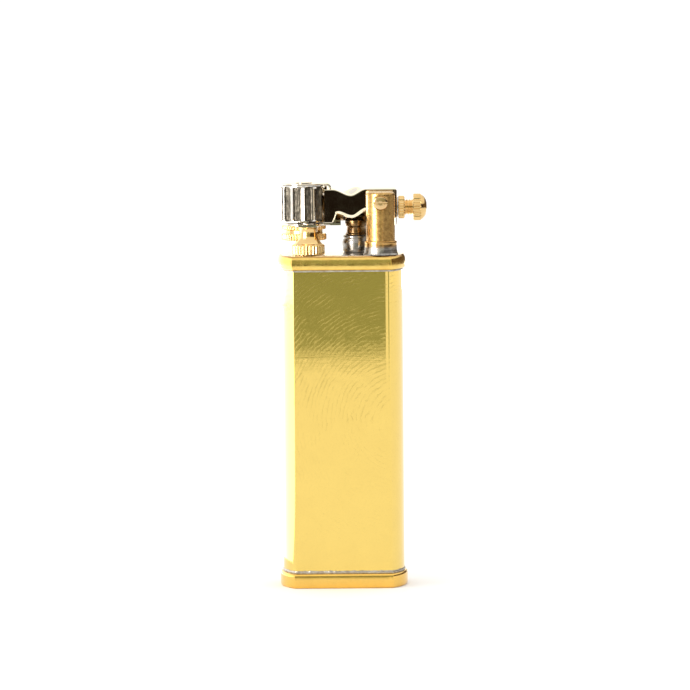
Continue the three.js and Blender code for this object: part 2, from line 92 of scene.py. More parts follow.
FOOT_Z = PLATE_HIGH.z
EAR_Z = (WHEEL_HIGH.z + 0.05, WHEEL_HIGH.z + 0.3)
ROLL_Z = ARM_HIGH.z - 0.85
ARBOR_R = 0.85
WHEEL_AT = (WHEEL.x, WHEEL.y, 0)
PIVOT_AT = (PIVOT.x, 0, PIVOT.z)
FLINT_AT = (0, FLINT_AXIS.y, FLINT_AXIS.z)


# ---- mesh helpers

made = []


def linked(name, data):
    """A new object in the scene that holds the data."""
    obj = bpy.data.objects.new(name, data)
    bpy.context.scene.collection.objects.link(obj)
    return obj


def solid_mesh(name, verts, faces, merge=False):
    """A mesh with its normals turned outwards, from vertices in millimetres."""
    mesh = bpy.data.meshes.new(name)
    mesh.from_pydata([tuple(c * MM for c in v) for v in verts], [], faces)
    if merge:
        mesh.validate()
    bm = bmesh.new()
    bm.from_mesh(mesh)
    if merge:
        bmesh.ops.remove_doubles(bm, verts=bm.verts, dist=1e-8)
    bmesh.ops.recalc_face_normals(bm, faces=bm.faces)
    bm.to_mesh(mesh)
    bm.free()
    return mesh


def new_object(name, verts, faces, material, body, replaces=()):
    """A piece of the lighter, in the slot of its material."""
    mesh = solid_mesh(name, verts, faces, merge=True)
    mesh.materials.append(material)
    obj = linked(name, mesh)
    made.append(obj)
    if replaces:
        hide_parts(*replaces)
    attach(obj, body)
    return obj


def smooth_all(angle=36):
    """Smooth shading that keeps sharp creases and leaves flat faces flat."""
    limit = math.radians(angle)
    for obj in made:
        mesh = obj.data
        mesh.polygons.foreach_set("use_smooth", [True] * len(mesh.polygons))
        bm = bmesh.new()
        bm.from_mesh(mesh)
        for edge in bm.edges:
            edge.smooth = edge.is_manifold and edge.calc_face_angle(0.0) < limit
        bm.to_mesh(mesh)
        bm.free()
        weighted = obj.modifiers.new("flat", "WEIGHTED_NORMAL")
        weighted.keep_sharp = True
        apply_modifiers(obj)


def apply_modifiers(obj):
    bpy.context.view_layer.update()
    graph = bpy.context.evaluated_depsgraph_get()
    baked = bpy.data.meshes.new_from_object(obj.evaluated_get(graph))
    old = obj.data
    obj.modifiers.clear()
    obj.data = baked
    bpy.data.meshes.remove(old)


def round_edges(obj, width, segments=2, angle=35):
    """Rounds the creases of a piece by a small radius in millimetres."""
    bevel = obj.modifiers.new("round", "BEVEL")
    bevel.width = width * MM
    bevel.segments = segments
    bevel.limit_method = "ANGLE"
    bevel.angle_limit = math.radians(angle)
    bevel.use_clamp_overlap = True
    apply_modifiers(obj)


def loft(loops, wrap=False):
    """Vertices and faces joining closed loops of equal length; the ends are capped, or joined."""
    n = len(loops[0])
    verts = [p for loop in loops for p in loop]
    faces = []
    rows = len(loops)
    for i in range(rows if wrap else rows - 1):
        a, b = i * n, ((i + 1) % rows) * n
        faces += [(a + j, a + (j + 1) % n, b + (j + 1) % n, b + j) for j in range(n)]
    if not wrap:
        faces.append(tuple(range(n))[::-1])
        faces.append(tuple(range((rows - 1) * n, rows * n)))
    return verts, faces


def lathe(profile, segments=96, radius=None, at=(0, 0, 0), axis="Z"):
    """A turned solid from [r, z] pairs that start and end on the axis, or that close."""
    closed = profile[0] == profile[-1]
    rows = profile[:-1] if closed else profile
    verts, index = [], []
    for r, z in rows:
        if r < 1e-6:
            index.append([len(verts)] * segments)
            verts.append((0, 0, z))
            continue
        index.append(list(range(len(verts), len(verts) + segments)))
        for j in range(segments):
            a = TAU * j / segments
            q = radius(a, r, z) if radius else r
            verts.append((q * math.cos(a), q * math.sin(a), z))
    faces = []
    count = len(rows)
    for i in range(count if closed else count - 1):
        low, high = index[i], index[(i + 1) % count]
        for j in range(segments):
            k = (j + 1) % segments
            corners = [low[j], low[k], high[k], high[j]]
            face = tuple(dict.fromkeys(corners))
            if len(face) > 2:
                faces.append(face)
    turn = {
        "X": lambda p: (p[2], p[1], -p[0]),
        "Y": lambda p: (p[0], p[2], -p[1]),
        "Z": lambda p: p,
    }[axis]
    return [tuple(c + o for c, o in zip(turn(v), at)) for v in verts], faces


def rod(r, low, high, segments, at, axis="Z"):
    """A plain round bar, to cut a bore with."""
    return lathe([[0, low], [r, low], [r, high], [0, high]], segments, at=at, axis=axis)


def turned(name, profile, material, body, node, at, segments, axis="Z", radius=None):
    """A turned piece that takes the place of a CAD node."""
    return new_object(name, *lathe(profile, segments, radius, at, axis), material, body, [node])


def softened(profile, radius, steps=3):
    """The profile with its corners rounded off by a small radius."""
    out = [profile[0]]
    for i in range(1, len(profile) - 1):
        p, q, s = (Vector(profile[k]).to_2d() for k in (i - 1, i, i + 1))
        if q.x < 1e-6:
            out.append(tuple(q))
            continue
        reach = min(radius, (p - q).length * 0.45, (s - q).length * 0.45)
        a, b = q + (p - q).normalized() * reach, q + (s - q).normalized() * reach
        for t in range(steps + 1):
            f = t / steps
            out.append(tuple((1 - f) ** 2 * a + 2 * f * (1 - f) * q + f * f * b))
    out.append(profile[-1])
    return [list(p) for p in out]


def dense(profile, step):
    """The profile with points added so that none are further apart than a step."""
    out = [profile[0]]
    for p, q in zip(profile, profile[1:]):
        length = math.dist(p, q)
        n = max(1, math.ceil(length / step))
        for k in range(1, n + 1):
            out.append([p[0] + (q[0] - p[0]) * k / n, p[1] + (q[1] - p[1]) * k / n])
    return out


def join_parts(parts):
    """One list of vertices and faces from several closed parts."""
    verts, faces = [], []
    for v, f in parts:
        start = len(verts)
        verts += v
        faces += [tuple(i + start for i in face) for face in f]
    return verts, faces


def prism(outline, low, high, axis="Z"):
    """A flat outline given thickness along Z, or drawn in XZ and given thickness along Y."""
    if axis == "Z":
        loops = [[(x, y, z) for x, y in outline] for z in (low, high)]
    else:
        loops = [[(x, y, z) for x, z in outline] for y in (low, high)]
    return loft(loops)


def cut(obj, *solids):
    """Cuts solids, each given as vertices and faces, from a piece."""
    for solid in solids:
        cutter = linked("cutter", solid_mesh("cutter", *solid))
        step = obj.modifiers.new("cut", "BOOLEAN")
        step.operation = "DIFFERENCE"
        step.solver = "EXACT"
        step.object = cutter
        apply_modifiers(obj)
        bpy.data.objects.remove(cutter)


def block(x0, x1, y0, y1, z0, z1):
    return prism([(x0, y0), (x1, y0), (x1, y1), (x0, y1)], z0, z1)


def smoothstep(a, b, x):
    t = min(1.0, max(0.0, (x - a) / (b - a)))
    return t * t * (3 - 2 * t)


def arc(cx, cy, r, a0, a1, n):
    """Points of an arc, angles in degrees."""
    angles = [math.radians(a0 + (a1 - a0) * i / n) for i in range(n + 1)]
    return [(cx + r * math.cos(a), cy + r * math.sin(a)) for a in angles]


def spline(points, per=5):
    """A smooth curve through points, for soft profiles."""
    ends = [points[0]] + [list(q) for q in points] + [points[-1]]
    out = [list(points[0])]
    for a, b, c, d in zip(ends, ends[1:], ends[2:], ends[3:]):
        for k in range(1, per + 1):
            t = k / per
            out.append([
                0.5 * (2 * q + (r - p) * t + (2 * p - 5 * q + 4 * r - w) * t**2
                       + (3 * q - p - 3 * r + w) * t**3)
                for p, q, r, w in zip(a, b, c, d)
            ])
    return out


def between(table, x):
    """A value read from [x, value] pairs, eased between them."""
    if x <= table[0][0]:
        return table[0][1]
    for (x0, a), (x1, b) in zip(table, table[1:]):
        if x <= x1:
            return a + (b - a) * smoothstep(x0, x1, x)
    return table[-1][1]


def ease_points(x0, z0, x1, z1, n=12):
    """Points of an S-shaped stretch that leaves and arrives level."""
    shares = [i / n for i in range(1, n + 1)]
    return [(x0 + (x1 - x0) * t, z0 + (z1 - z0) * smoothstep(0, 1, t)) for t in shares]


# ---- materials


class Nodes:
    """A short way to write a material's node tree."""

    def __init__(self, name):
        self.material = bpy.data.materials.new(name)
        self.material.use_nodes = True
        self.tree = self.material.node_tree
        self.tree.nodes.clear()
        self.out = self.add("ShaderNodeOutputMaterial")
        self.shader = self.add("ShaderNodeBsdfPrincipled")
        self.link(self.shader, "BSDF", self.out, "Surface")
        self.coords = self.add("ShaderNodeTexCoord")

    def add(self, kind, **settings):
        node = self.tree.nodes.new(kind)
        for key, value in settings.items():
            setattr(node, key, value)
        return node

    def link(self, a, out, b, into):
        self.tree.links.new(a.outputs[out], b.inputs[into])

    def set(self, node, **values):
        for key, value in values.items():
            node.inputs[key.replace("_", " ")].default_value = value
        return node

    def mapped(self, scale, rotation):
        """Object coordinates, scaled per axis and turned."""
        node = self.set(self.add("ShaderNodeMapping"), Scale=scale, Rotation=rotation)
        self.link(self.coords, "Object", node, "Vector")
        return node

    def noise(self, scale, detail, roughness, vector=None, distortion=0.0):
        node = self.add("ShaderNodeTexNoise")
        self.set(node, Scale=scale, Detail=detail, Roughness=roughness, Distortion=distortion)
        self.link(vector or self.coords, "Vector" if vector else "Object", node, "Vector")
        return node

    def ramp(self, source, out, stops):
        node = self.add("ShaderNodeValToRGB")
        elements = node.color_ramp.elements
        while len(elements) < len(stops):
            elements.new(0.5)
        for element, (position, colour) in zip(elements, stops):
            element.position = position
            element.color = colour if len(colour) == 4 else (*colour, 1)
        self.link(source, out, node, "Fac")
        return node

    def mix(self, factor, a, b, blend="MIX"):
        """Mixes colours; each of factor, a and b is a value or a (node, output) pair."""
        node = self.add("ShaderNodeMix", data_type="RGBA", blend_type=blend)
        sockets = {"factor": node.inputs[0], "a": node.inputs[6], "b": node.inputs[7]}
        for key, value in {"factor": factor, "a": a, "b": b}.items():
            if isinstance(value, tuple) and hasattr(value[0], "outputs"):
                self.tree.links.new(value[0].outputs[value[1]], sockets[key])
            elif key == "factor":
                sockets[key].default_value = value
            else:
                sockets[key].default_value = (*value, 1)
        return node

    def math(self, operation, *values):
        """Maths on values that are each a number or a (node, output) pair."""
        node = self.add("ShaderNodeMath", operation=operation)
        for i, value in enumerate(values):
            if isinstance(value, tuple):
                self.tree.links.new(value[0].outputs[value[1]], node.inputs[i])
            else:
                node.inputs[i].default_value = value
        return node

    def height(self):
        apart = self.add("ShaderNodeSeparateXYZ")
        self.link(self.coords, "Object", apart, 0)
        return apart, "Z"

    def vector_math(self, operation, source, out, by=None):
        node = self.add("ShaderNodeVectorMath", operation=operation)
        self.link(source, out, node, 0)
        if by:
            node.inputs[1].default_value = by
        return node

    def map_range(self, source, out, low, high, to_low=0.0, to_high=1.0):
        node = self.add("ShaderNodeMapRange")
        self.set(node, From_Min=low, From_Max=high, To_Min=to_low, To_Max=to_high)
        self.link(source, out, node, "Value")
        return node

    def base_colour(self, node, out):
        """Sets the shader's colour, and remembers it so that another layer can go over it."""
        self.colour = (node, out)
        self.link(node, out, self.shader, "Base Color")

    def bump(self, height, out, strength, distance, below=None):
        node = self.add("ShaderNodeBump")
        self.set(node, Strength=strength, Distance=distance)
        self.link(height, out, node, "Height")
        if below:
            self.link(below, "Normal", node, "Normal")
        return node


BLACK, WHITE = (0, 0, 0), (1, 1, 1)


def metal_nodes(name, colour, dull, roughness, rough_to, tarnish=0.3, grain=0.15, swirl=0.0, patch=220,
                wavy=0.04, coat=0.0):
    """Metal with drifting colour, uneven polish, fine hairline scratches and small pits."""
    m = Nodes(name)
    wear = m.ramp(m.noise(patch, 5, 0.6, distortion=0.6), "Fac", [(0.38, BLACK), (0.68, WHITE)])
    amount = m.math("MULTIPLY", (wear, "Color"), tarnish)
    base = m.mix((amount, "Value"), colour, dull)
    freckle = m.ramp(m.noise(2600, 3, 0.6), "Fac", [(0.0, (0.86, 0.86, 0.86)), (0.55, WHITE)])
    m.base_colour(m.mix(0.5, (base, 2), (freckle, "Color"), "MULTIPLY"), 2)
    rough = m.map_range(m.noise(700, 4, 0.6), "Fac", 0.3, 0.7, roughness, rough_to)
    hair = m.noise(1400, 2, 0.6, vector=m.mapped((1, 1, 0.05), (0.15, 0.35, 0.2)))
    cross = m.noise(1400, 2, 0.6, vector=m.mapped((0.06, 1, 1), (0.3, 0.5, 0)))
    height = m.math("ADD", (hair, "Fac"), (cross, "Fac"))
    m.link(rough, "Result", m.shader, "Roughness")
    if swirl:
        rings = m.add("ShaderNodeTexWave", wave_type="RINGS", rings_direction="SPHERICAL")
        m.set(rings, Scale=420, Distortion=5.0, Detail=3.0, Detail_Scale=1.2)
        place = m.add("ShaderNodeMapping")
        m.set(place, Location=(-0.012, 0, -0.033))
        m.link(m.coords, "Object", place, "Vector")
        m.link(place, "Vector", rings, "Vector")
        part = m.math("MULTIPLY", (rings, "Fac"), swirl * 0.3)
        height = m.math("ADD", (height, "Value"), (part, "Value"))
        lines = m.ramp(rings, "Fac", [(0.7, BLACK), (0.97, WHITE)])
        broken = m.ramp(m.noise(330, 4, 0.65), "Fac", [(0.42, BLACK), (0.62, WHITE)])
        scuffs = m.math("MULTIPLY", (lines, "Color"), (broken, "Color"))
        extra = m.math("MULTIPLY", (scuffs, "Value"), 0.2 * swirl)
        m.link(m.math("ADD", (rough, "Result"), (extra, "Value")), "Value", m.shader, "Roughness")
    bump = m.bump(height, "Value", grain, 0.00001)
    waves = m.bump(m.noise(160 if wavy < 0.3 else 520, 3, 0.5), "Fac", wavy, 0.00006, below=bump)
    m.link(waves, "Normal", m.shader, "Normal")
    m.set(m.shader, Metallic=1.0, Coat_Weight=coat, Coat_Roughness=0.06)
    return m


def metal(*settings, **more):
    return metal_nodes(*settings, **more).material


def dull_solid(name, light, dark, scale, roughness, bump, sheen=0.0):
    """A non-metal with mottled colour and a fine bumpy surface."""
    m = Nodes(name)
    tone = m.noise(scale, 5, 0.6)
    colour = m.ramp(tone, "Fac", [(0.3, dark), (0.7, light)])
    m.base_colour(colour, "Color")
    fine = m.noise(scale * 4, 4, 0.65)
    m.link(m.bump(fine, "Fac", bump, 0.00005), "Normal", m.shader, "Normal")
    m.set(m.shader, Roughness=roughness, Sheen_Weight=sheen)
    return m.material


def two_tone(name, high, low, where, soft, roughness, by_height=False):
    """Metal that changes from one tone to another with height or with distance from the wheel's axis."""
    smooth, rough = roughness
    m = metal_nodes(name, high, [c * 0.75 for c in high], smooth, smooth + 0.1, 0.4, 0.2)
    if by_height:
        measure = m.height()
    else:
        flat = m.vector_math("SUBTRACT", m.coords, "Object", (WHEEL.x * MM, WHEEL.y * MM, 0))
        level = m.vector_math("MULTIPLY", flat, 0, (1, 1, 0))
        measure = (m.vector_math("LENGTH", level, 0), "Value")
    grain = m.noise(900, 5, 0.5)
    jitter = m.math("MULTIPLY_ADD", (grain, "Fac"), soft, measure)
    mask = m.map_range(jitter, 0, where, where + soft)
    mottle = m.ramp(grain, "Fac", [(0.35, [c * 0.35 for c in low]), (0.65, low)])
    m.base_colour(m.mix((mask, "Result"), (mottle, "Color"), m.colour), 2)
    polish = m.map_range(mask, "Result", 0.0, 1.0, rough, smooth)
    m.link(polish, "Result", m.shader, "Roughness")
    return m.material


def banded(m, z0, z1, stops, jitter=0.00012):
    """Tints a metal by height, with uneven borders; each stop is a share of the height and a colour."""
    level = m.math("MULTIPLY_ADD", (m.noise(900, 2, 0.5), "Fac"), jitter, m.height())
    share = m.map_range(level, 0, z0 + jitter / 2, z1 + jitter / 2)
    tint = m.ramp(share, "Result", stops)
    m.base_colour(m.mix(1.0, m.colour, (tint, "Color"), "MULTIPLY"), 2)
    return m.material


BRASS = metal("case_brass_polished", (0.83, 0.602, 0.165), (0.77, 0.552, 0.15), 0.035, 0.075, 0.35, 0.12,
              0.5, wavy=0.03)
# Top band: pale metal tinted to brass up most of the bead, a brown stripe just under the top edge, and the
# pale metal left untinted above it on the top rounding and top face, where the pale tone is a painted
# highlight.
TOP_BRASS = banded(
    metal_nodes("top_band_brass", (0.92, 0.9, 0.86), (0.8, 0.68, 0.56), 0.12, 0.24, 0.6, 0.3, wavy=0.5,
                patch=500),
    TOP_LOW.z * MM, TOP_HIGH.z * MM,
    [(0, (0.95, 0.69, 0.2)), (0.83, (0.93, 0.66, 0.19)), (0.87, (0.55, 0.33, 0.1)),
     (0.95, (0.6, 0.38, 0.14)), (0.966, WHITE)],
)
BAND_BRASS = metal("band_brass", (0.87, 0.55, 0.13), (0.74, 0.44, 0.1), 0.1, 0.2, 0.4, 0.16)
KNURL_BRASS = metal("knurled_brass", (0.82, 0.57, 0.25), (0.62, 0.37, 0.12), 0.1, 0.2, 0.6, 0.25)
SCREW_BRASS = metal("pivot_screw_brass", (0.8, 0.56, 0.28), (0.56, 0.34, 0.13), 0.16, 0.28, 0.6, 0.25,
                    patch=900)
POST_BRASS = metal("post_brass", (0.6, 0.37, 0.12), (0.34, 0.18, 0.05), 0.2, 0.34, 0.85, 0.4, patch=1100,
                   coat=0.3)
OLD_BRASS = metal("tarnished_brass", (0.5, 0.3, 0.11), (0.28, 0.16, 0.06), 0.2, 0.36, 0.75, 0.4, patch=420)
# Pillar brass: dark brown tarnish, darkened further as painted shade for its place behind and under the arm.
PILLAR_BRASS_TARNISH_AND_SHADE = metal("dark_brass", (0.2, 0.115, 0.04), (0.06, 0.034, 0.012), 0.2, 0.3, 0.85, 0.4, patch=900,
                   coat=0.3)
CHROME = metal("worn_chrome", (0.72, 0.64, 0.52), (0.5, 0.41, 0.28), 0.03, 0.055, 0.35, 0.12, wavy=0.02)
DARK_CHROME = metal("dull_chrome", (0.3, 0.285, 0.26), (0.09, 0.078, 0.06), 0.24, 0.34, 0.7, 0.3, patch=500)
# Pale steel on the ribs, dark mottled steel deeper in: the recess floors are rougher file-cut steel, and
# their dark tone is also painted shade.
WHEEL_STEEL = two_tone("wheel_steel", (0.8, 0.76, 0.69), (0.16, 0.138, 0.105), (WHEEL_R - 0.2) * MM, 0.00008,
                       (0.05, 0.3))
COLLAR = two_tone("post_collar_metal", (0.62, 0.36, 0.12), (0.46, 0.43, 0.38), 0.0674, 0.0006, (0.18, 0.32),
                  by_height=True)
# Pale warm cream metal for the arm's lip, brighter than the arm's chrome: a painted highlight.
LIP_HIGHLIGHT_METAL = metal("worn_lip", (0.95, 0.85, 0.62), (0.8, 0.62, 0.36), 0.12, 0.22, 0.4, 0.2)
SOLDER = metal("dull_solder", (0.5, 0.47, 0.42), (0.26, 0.2, 0.14), 0.3, 0.5, 0.8, 0.9, patch=900)
STEEL = metal("drawn_steel", (0.52, 0.51, 0.5), (0.3, 0.29, 0.28), 0.2, 0.35, 0.4, 0.4)
FLINT = metal("flint_alloy", (0.2, 0.19, 0.18), (0.1, 0.09, 0.085), 0.5, 0.7, 0.6, 0.9)
COTTON = dull_solid("cotton_fibre", (0.9, 0.87, 0.8), (0.68, 0.63, 0.54), 1500, 0.95, 0.8, 0.3)
FELT = dull_solid("pressed_felt", (0.3, 0.24, 0.17), (0.13, 0.1, 0.07), 2200, 0.95, 0.9, 0.3)
RUBBER = dull_solid("black_rubber", (0.035, 0.035, 0.035), (0.015, 0.015, 0.015), 2500, 0.7, 0.25)


# ---- case


def case_outline(margin, arc_points=26, face_points=80):
    """The case's outline: a nearly flat front and back joined by shallow arcs."""
    r0 = (CASE_HALF_DEPTH**2 + CASE_BULGE**2) / (2 * CASE_BULGE)
    cx = CASE_HALF_WIDTH - r0
    r, y = r0 + margin, CASE_HALF_DEPTH + margin
    half = math.asin(y / r)
    corner = cx + r * math.cos(half)
    points = []
    for side in (1, -1):
        for i in range(face_points):
            x = -corner + 2 * corner * i / face_points
            worn = 0.05 if side * x > 0 else 0.02
            sag = worn * smoothstep(0.885, 1.0, abs(x) / corner)
            points.append((side * x, side * (-y + sag)))
        for i in range(arc_points):
            a = -half + 2 * half * i / arc_points
            points.append((side * (cx + r * math.cos(a)), side * r * math.sin(a)))
    return points


def case_loops(levels):
    return [[(x, y, z) for x, y in case_outline(margin)] for margin, z in levels]


def make_case():
    wall, inner, floor, rows = -0.8, 0.05, 1.2, 40
    z0, z1 = TUBE_LOW.z, TUBE_HIGH.z
    levels = [(0.0, z0 + (z1 - z0) * i / rows) for i in range(rows + 1)] + [(wall, z1), (wall, z0)]
    new_object("case_shell", *loft(case_loops(levels), wrap=True), BRASS, "case", ["case_tube"])

    profile = [(0.3, 0), (0.47, 0.1), (0.58, 0.3), (BAND_PROUD, 0.6), (BAND_PROUD, 2.25), (0.57, 2.55),
               (0.45, 2.76), (0.28, BASE_HIGH.z), (inner, BASE_HIGH.z), (inner, floor)]
    base = new_object("base_band", *loft(case_loops(profile)), BAND_BRASS, "case", ["base_cap"])
    cut(base, rod(4.05, -1, floor + 1, 96, (FILLER.x, 0, 0)))

    low, high = TOP_LOW.z, TOP_HIGH.z
    bead = [(0.3, 0), (0.43, 0.08), (0.52, 0.2), (0.575, 0.35), (0.605, 0.55), (0.62, 0.85), (0.615, 1.15),
            (0.6, 1.45), (0.57, 1.72), (0.525, 1.98), (0.46, 2.22), (0.37, 2.42), (0.25, 2.6), (0.1, 2.73),
            (-0.08, 2.81), (-0.3, 2.85)]
    profile = [(inner, high - 1.3), (inner, low)]
    profile += [(min(m, BAND_PROUD), low + z) for m, z in spline(bead, 3)]
    top = new_object("top_band", *loft(case_loops(profile)), TOP_BRASS, "case", ["top_cap"])
    cut(top, rod(1.34, 60, 70, 48, (WICK.x, WICK.y, 0)))


def solder_bead(name, node, low, high, proud, seed, steps=7):
    """An uneven bead of solder round the case."""
    loops = []
    for k in range(steps + 1):
        a = math.pi * k / steps
        loop = []
        for x, y in case_outline(0.0):
            n1 = noise.noise(Vector((x * 1.3, y * 1.3, seed)))
            n2 = noise.noise(Vector((x * 4.0, y * 4.0, seed + 7)))
            swell = proud * (0.75 + 0.5 * n1 + 0.4 * n2)
            lift = (high - low) * (0.22 * n1 + 0.2 * n2)
            out = max(0.02, swell) * math.sin(a)
            z = (low + high) / 2 - math.cos(a) * (high - low) / 2 + lift * (k / steps)
            loop.append((x + x / math.hypot(x, y) * out, y + math.copysign(out, y) * min(1, abs(y)), z))
        loops.append(loop)
    inside = [[(x * 0.995, y * 0.995, z) for x, y, z in loop] for loop in (loops[-1], loops[0])]
    new_object(name, *loft(loops + inside, wrap=True), SOLDER, "case", [node])


make_case()
low, high = node_box("base_solder")
solder_bead("base_solder_bead", "base_solder", low.z - 0.05, high.z, 0.17, 3.0)
low, high = node_box("top_solder")
solder_bead("top_solder_bead", "top_solder", low.z, high.z + 0.02, 0.1, 11.0)


# ---- knurling


def tooth(angle, teeth):
    """From 0 to 1 across a tooth: 1 is the bottom of the groove."""
    return smoothstep(0.1, 0.95, abs((angle * teeth / TAU) % 1.0 - 0.5) * 2)


def thread(angle, along, pitch):
    """From 0 to 1 across a spiral thread: 1 is the bottom of the groove."""
    return smoothstep(0.1, 0.9, abs((along / pitch - angle / TAU) % 1.0 - 0.5) * 2)


def straight_knurl(teeth, depth, zones, fade=0.12):
    """A radius function that cuts pointed teeth within zones of height."""

    def radius(angle, r, z):
        mask = max(
            smoothstep(a - 1e-3, a + fade, z) * (1 - smoothstep(b - fade, b + 1e-3, z)) * (r > floor)
            for a, b, floor in zones
        )
        return r - depth * mask * tooth(angle, teeth)

    return radius


# ---- snuffer


def make_snuffer():
    base, shoulder, tip = node_box("snuffer_bell")[0].z, PLATE_LOW.z - 0.05, PLATE_HIGH.z + 0.02
    r, skirt, stem, mouth = 3.2, 67.75, 0.75, 2.6
    neck = [[2.95, 67.86], [2.66, 68.04], [2.34, 68.4], [2.02, 68.85], [1.82, 69.3], [1.74, 69.75],
            [1.71, 70.2], [1.73, 70.6], [1.8, 70.9], [1.92, 71.08], [2.0, shoulder - 0.05]]
    outer = [[mouth, base], [r - 0.08, base], [r, base + 0.1], [r, skirt - 0.14], [r - 0.1, skirt],
             *spline(neck, 4), [1.96, shoulder], [stem, shoulder], [stem, tip], [0, tip]]
    hollow = [[0, 69.4], [1.33, 69.4], [1.6, 68.6], [2.2, 67.9], [mouth, 67.4], [mouth, base]]
    knurl = straight_knurl(28, 0.26, [(base + 0.05, skirt - 0.02, 2.9)])
    at, segments = (BELL.x, BELL.y, 0), 336
    # The outer skin and the hollow share the bottom edge.
    skins = join_parts([lathe(dense(outer, 0.16), segments, knurl, at), lathe(hollow, segments, at=at)])
    new_object("snuffer", *skins, KNURL_BRASS, "arm", ["snuffer_bell"])
    low, high = node_box("snuffer_rivet")
    head = [[0, low.z], [1.15, low.z], [1.12, high.z - 0.05], [0.8, high.z], [0, high.z]]
    turned("snuffer_rivet_head", softened(head, 0.05), CHROME, "arm", "snuffer_rivet", at, 48)


make_snuffer()


# ---- striking wheel and spool


def make_wheel():
    """Twelve slightly raked ribs between recesses with rounded ends and file-cut floors."""
    z0, z1 = WHEEL_LOW.z, WHEEL_HIGH.z
    ribs, deep, rim, rib_half, lead, corner, chamfer = 12, 0.44, 0.3, 0.5, 0.1, 0.35, 0.1
    pitch = TAU / ribs
    half = pitch * WHEEL_R / 2 - rib_half
    mid, tall = (z0 + z1) / 2, (z1 - z0) / 2 - rim

    def radius(angle, r, z):
        if r < WHEEL_R - 0.2:
            return r
        t = ((angle / pitch + lead) % 1.0 - 0.5) * pitch * WHEEL_R
        off = abs(z - mid) - tall
        dx, dz = max(0.0, abs(t) - half + corner), max(0.0, off + corner)
        mask = smoothstep(-0.07, 0.09, corner - math.hypot(dx, dz))
        across = t - half if t > 0 else t + half + 2 * rib_half
        rake = 0.3 * max(0.0, 1 - across / (2 * rib_half)) * (1 - mask)
        if off > -0.2:
            rake *= smoothstep(0.02, -0.2, off)
        v = Vector((t * 6.0 + 31 * math.floor(angle / pitch + lead), z * 1.1, 2.0))
        streak = noise.noise(v) * 0.5 + noise.noise(v * 2.7) * 0.35
        cross = 0.5 + 0.5 * math.sin((z + t * 0.7) * TAU / 0.34)
        return r - rake - mask * (deep - 0.04 * cross - 0.11 * streak)

    outer = [[ARBOR_R, z0], [WHEEL_R - chamfer, z0], [WHEEL_R, z0 + chamfer]]
    outer += dense([[WHEEL_R, z0 + chamfer], [WHEEL_R, z1 - chamfer]], 0.062)[1:]
    outer += [[WHEEL_R - chamfer, z1], [ARBOR_R, z1], [ARBOR_R, z0]]
    turned("fluted_wheel", outer, WHEEL_STEEL, "striker", "striking_wheel", WHEEL_AT, 720, radius=radius)


def make_spool():
    low, high = node_box("thumb_spool")
    z0, z3 = low.z, high.z
    z1, z2 = z0 + 1.25, z3 - 0.8
    r = 4.45
    outer = [
        [ARBOR_R, z0], [r - 0.2, z0], [r, z0 + 0.16], [r, z1 - 0.16], [r - 0.2, z1],
        [3.75, z1 + 0.04], [3.68, z1 + 0.2], [3.68, z2 - 0.15], [3.8, z2], [r - 0.25, z2 + 0.03],
        [r - 0.1, z2 + 0.15], [r - 0.1, z3 - 0.12], [r - 0.22, z3], [ARBOR_R, z3], [ARBOR_R, z0],
    ]
    knurl = straight_knurl(44, 0.2, [(z0, z1, 4.2), (z2, z3, 4.2)], 0.16)
    turned("lower_spool", dense(outer, 0.14), KNURL_BRASS, "striker", "thumb_spool", WHEEL_AT, 528,
           radius=knurl)


def make_arbor():
    low, high = node_box("wheel_arbor")
    shoulder = EAR_Z[1] + 0.05
    shape = [[0, low.z], [0.8, low.z], [0.8, shoulder], [1.7, shoulder], [1.7, high.z - 0.08],
             [1.55, high.z], [0, high.z]]
    arbor = turned("arbor", softened(shape, 0.05), CHROME, "striker", "wheel_arbor", WHEEL_AT, 72)
    cut(arbor, block(WHEEL.x - 3, WHEEL.x + 3, WHEEL.y - 0.2, WHEEL.y + 0.2, high.z - 0.1, high.z + 1))
    round_edges(arbor, 0.03)


make_wheel()
make_spool()
make_arbor()


# ---- lift arm

FRONT_TOP = [(-1.7, 78.4), (1.9, 77.22), (4.9, 78.45)]
REAR_TOP = [(-1.7, 78.4), (0.1, 77.6), (3.1, 78.5), (4.9, 78.1), (5.8, 78.45)]
FRONT_LOW = [(-1.75, FOOT_Z), (-0.95, 73.9), (2.1, 73.0), (5.1, 74.5), (6.5, 72.65)]
REAR_LOW = [(2.95, FOOT_Z), (3.3, 70.1), (4.2, 69.7), (10.2, 70.75), (END_X, 70.75)]


def arm_section(x):
    """The channel's section at one place along the arm: front cheek, top web, rear cheek."""
    gone = max(0.0, x - (END_X - 0.5))
    turn_in = 0.5 - math.sqrt(max(0.0, 0.25 - gone * gone))
    y0, y1 = FRONT_Y + turn_in, BACK_Y - turn_in
    t, r = SHEET, 0.14
    zf, zr = between(FRONT_TOP, x) - turn_in, between(REAR_TOP, x) - turn_in
    lf, lr = between(FRONT_LOW, x), between(REAR_LOW, x)
    corner = [math.radians(a) for a in range(0, 91, 15)]
    outer = [(y0 + 0.13, lf), (y0 + 0.04, lf + 0.04), (y0, lf + 0.13), (y0, lf + 0.17), (y0, zf - r - 0.06)]
    outer += [(y0 + r - r * math.cos(a), zf - r + r * math.sin(a)) for a in corner]
    outer += [(y0 + r + (y1 - y0 - 2 * r) * k / 8, zf + (zr - zf) * smoothstep(0, 1, k / 8))
              for k in range(1, 8)]
    outer += [(y1 - r + r * math.sin(a), zr - r + r * math.cos(a)) for a in corner]
    outer += [(y1, zr - r - 0.06), (y1, lr + 0.17), (y1, lr + 0.13), (y1 - 0.04, lr + 0.04),
              (y1 - 0.13, lr)]
    inner = [(y1 - t + 0.05, lr), (y1 - t, lr + 0.05), (y1 - t, zr - t - 0.05), (y1 - t - 0.05, zr - t)]
    inner += [(y0 + t + 0.05, zf - t), (y0 + t, zf - t - 0.05), (y0 + t, lf + 0.05), (y0 + t - 0.05, lf)]
    return [(x, y, z) for y, z in outer + inner]


